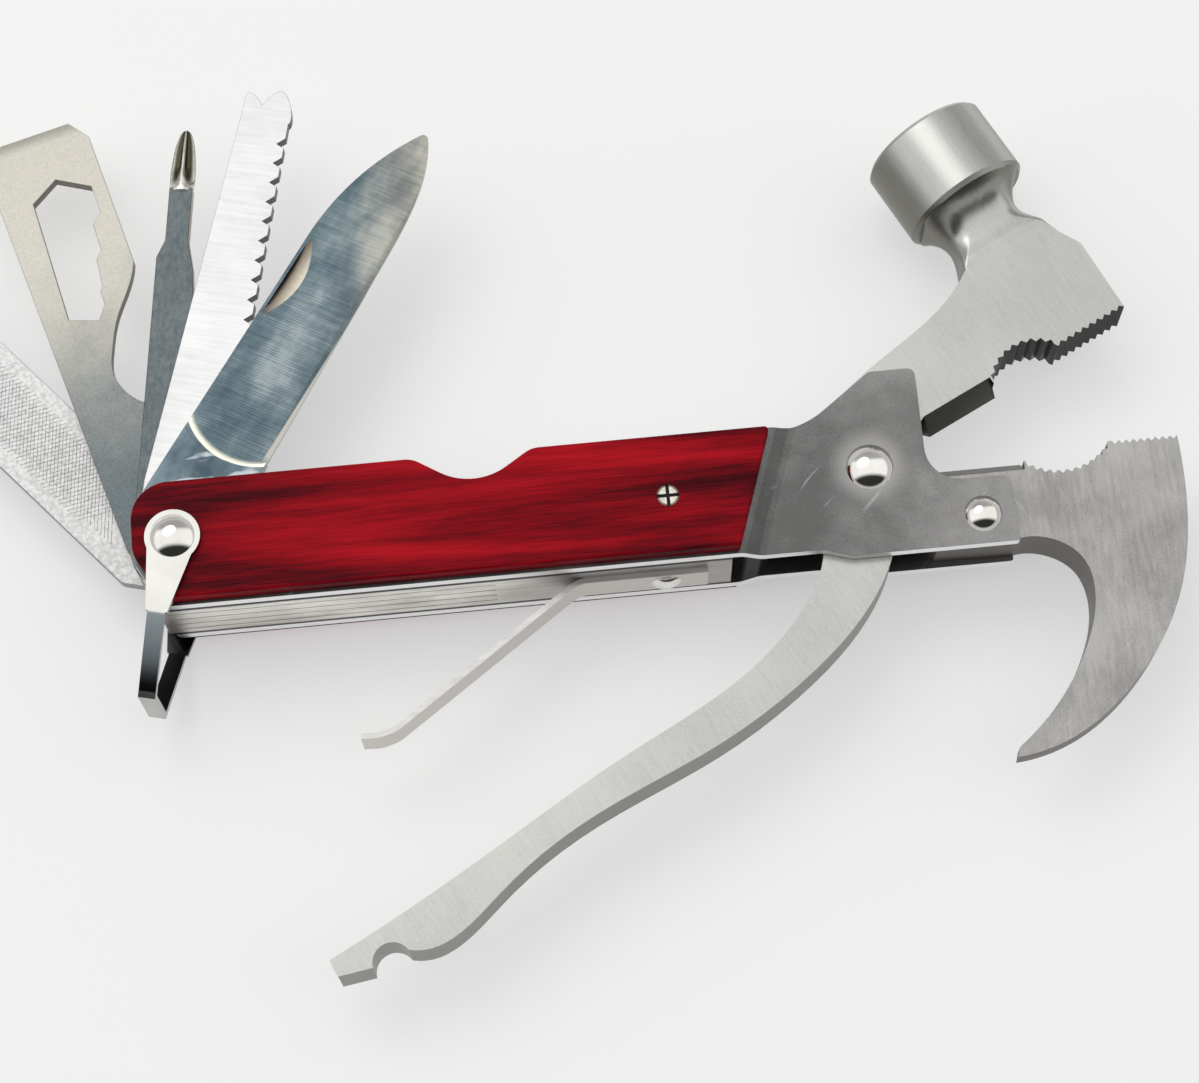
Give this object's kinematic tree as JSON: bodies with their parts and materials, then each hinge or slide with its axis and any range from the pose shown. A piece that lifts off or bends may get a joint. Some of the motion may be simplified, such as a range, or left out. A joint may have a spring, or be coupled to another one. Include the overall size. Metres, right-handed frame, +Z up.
{
  "type": "hammer multi tool",
  "caption": "Folding hand tool: hammer and plier lever, hooked claw, red wood handle with fold-out knife, saw, screwdriver, opener and file.",
  "frame": {"origin": "on the surface the tool lies on, under the middle of its overall box", "axes": "+X along the handle from the tool axle to the head, +Y from the handle to the hammer side, +Z up through the thickness, out of the front plate"},
  "size_m": [0.2114, 0.1484, 0.0258],
  "materials": {
    "stamped_steel": "tumbled grey stamped sheet",
    "cast_steel": "satin, ground along its length",
    "polished_steel": "polished",
    "spring_steel": "satin strip",
    "clip_steel": "bright strip",
    "knife_steel": "cross-ground, bluish",
    "bright_steel": "bright ground",
    "driver_steel": "satin",
    "opener_steel": "matte, warm grey",
    "file_steel": "cross-cut, pale",
    "red_wood": "red-dyed laminated wood, oiled"
  },
  "bodies": {
    "frame": {"front_plate": "stamped_steel", "back_plate": "stamped_steel", "front_scale": "red_wood", "back_scale": "red_wood", "scale_screws": "polished_steel", "tool_axle": "polished_steel", "tool_washers": "spring_steel", "jaw_pivot_rivet": "polished_steel", "claw_rivet": "polished_steel", "claw_jaw": "cast_steel", "tool_spring": "spring_steel", "spring_bracket": "spring_steel", "leaf_spring_foot": "spring_steel", "leaf_spring_rivet": "polished_steel"},
    "lever": {"hammer_lever": "cast_steel"},
    "leaf_spring": {"leaf_spring_blade": "spring_steel"},
    "clip": {"lock_clip": "clip_steel"},
    "knife": {"knife_blade": "knife_steel"},
    "saw": {"saw_blade": "bright_steel"},
    "driver": {"phillips_driver": "driver_steel"},
    "opener": {"opener_wrench": "opener_steel"},
    "file": {"file_blade": "file_steel"}
  },
  "joints": [
    {"name": "jaw_close", "type": "hinge", "parent": "frame", "child": "lever", "pos_m": [0.05681, -0.00251, 0.0129], "axis": [0, 0, 1], "range_deg": [-26.5, 0], "stiffness_Nm_per_rad": 0.25},
    {"name": "spring_flex", "type": "hinge", "parent": "frame", "child": "leaf_spring", "pos_m": [0.00921, -0.01586, 0.0129], "axis": [0, 0, 1], "range_deg": [-24.8, 0.1]},
    {"name": "clip_swing", "type": "hinge", "parent": "frame", "child": "clip", "pos_m": [-0.05154, -0.00521, 0.0129], "axis": [0, 0, -1], "range_deg": [-28, 36]},
    {"name": "knife_fold", "type": "hinge", "parent": "frame", "child": "knife", "pos_m": [-0.05154, -0.00521, 0.0129], "axis": [0, 0, 1], "range_deg": [-55.5, 124.5]},
    {"name": "saw_fold", "type": "hinge", "parent": "frame", "child": "saw", "pos_m": [-0.05154, -0.00521, 0.0129], "axis": [0, 0, 1], "range_deg": [-75.5, 104.5]},
    {"name": "driver_fold", "type": "hinge", "parent": "frame", "child": "driver", "pos_m": [-0.05154, -0.00521, 0.0129], "axis": [0, 0, 1], "range_deg": [-83, 97]},
    {"name": "opener_fold", "type": "hinge", "parent": "frame", "child": "opener", "pos_m": [-0.05154, -0.00521, 0.0129], "axis": [0, 0, 1], "range_deg": [-105.5, 74.5]},
    {"name": "file_fold", "type": "hinge", "parent": "frame", "child": "file", "pos_m": [-0.05154, -0.00521, 0.0129], "axis": [0, 0, 1], "range_deg": [-130.8, 49.2]}
  ],
  "couplings": [
    {"joint": "spring_flex", "follows": "jaw_close", "ratio": 0.93207}
  ]
}
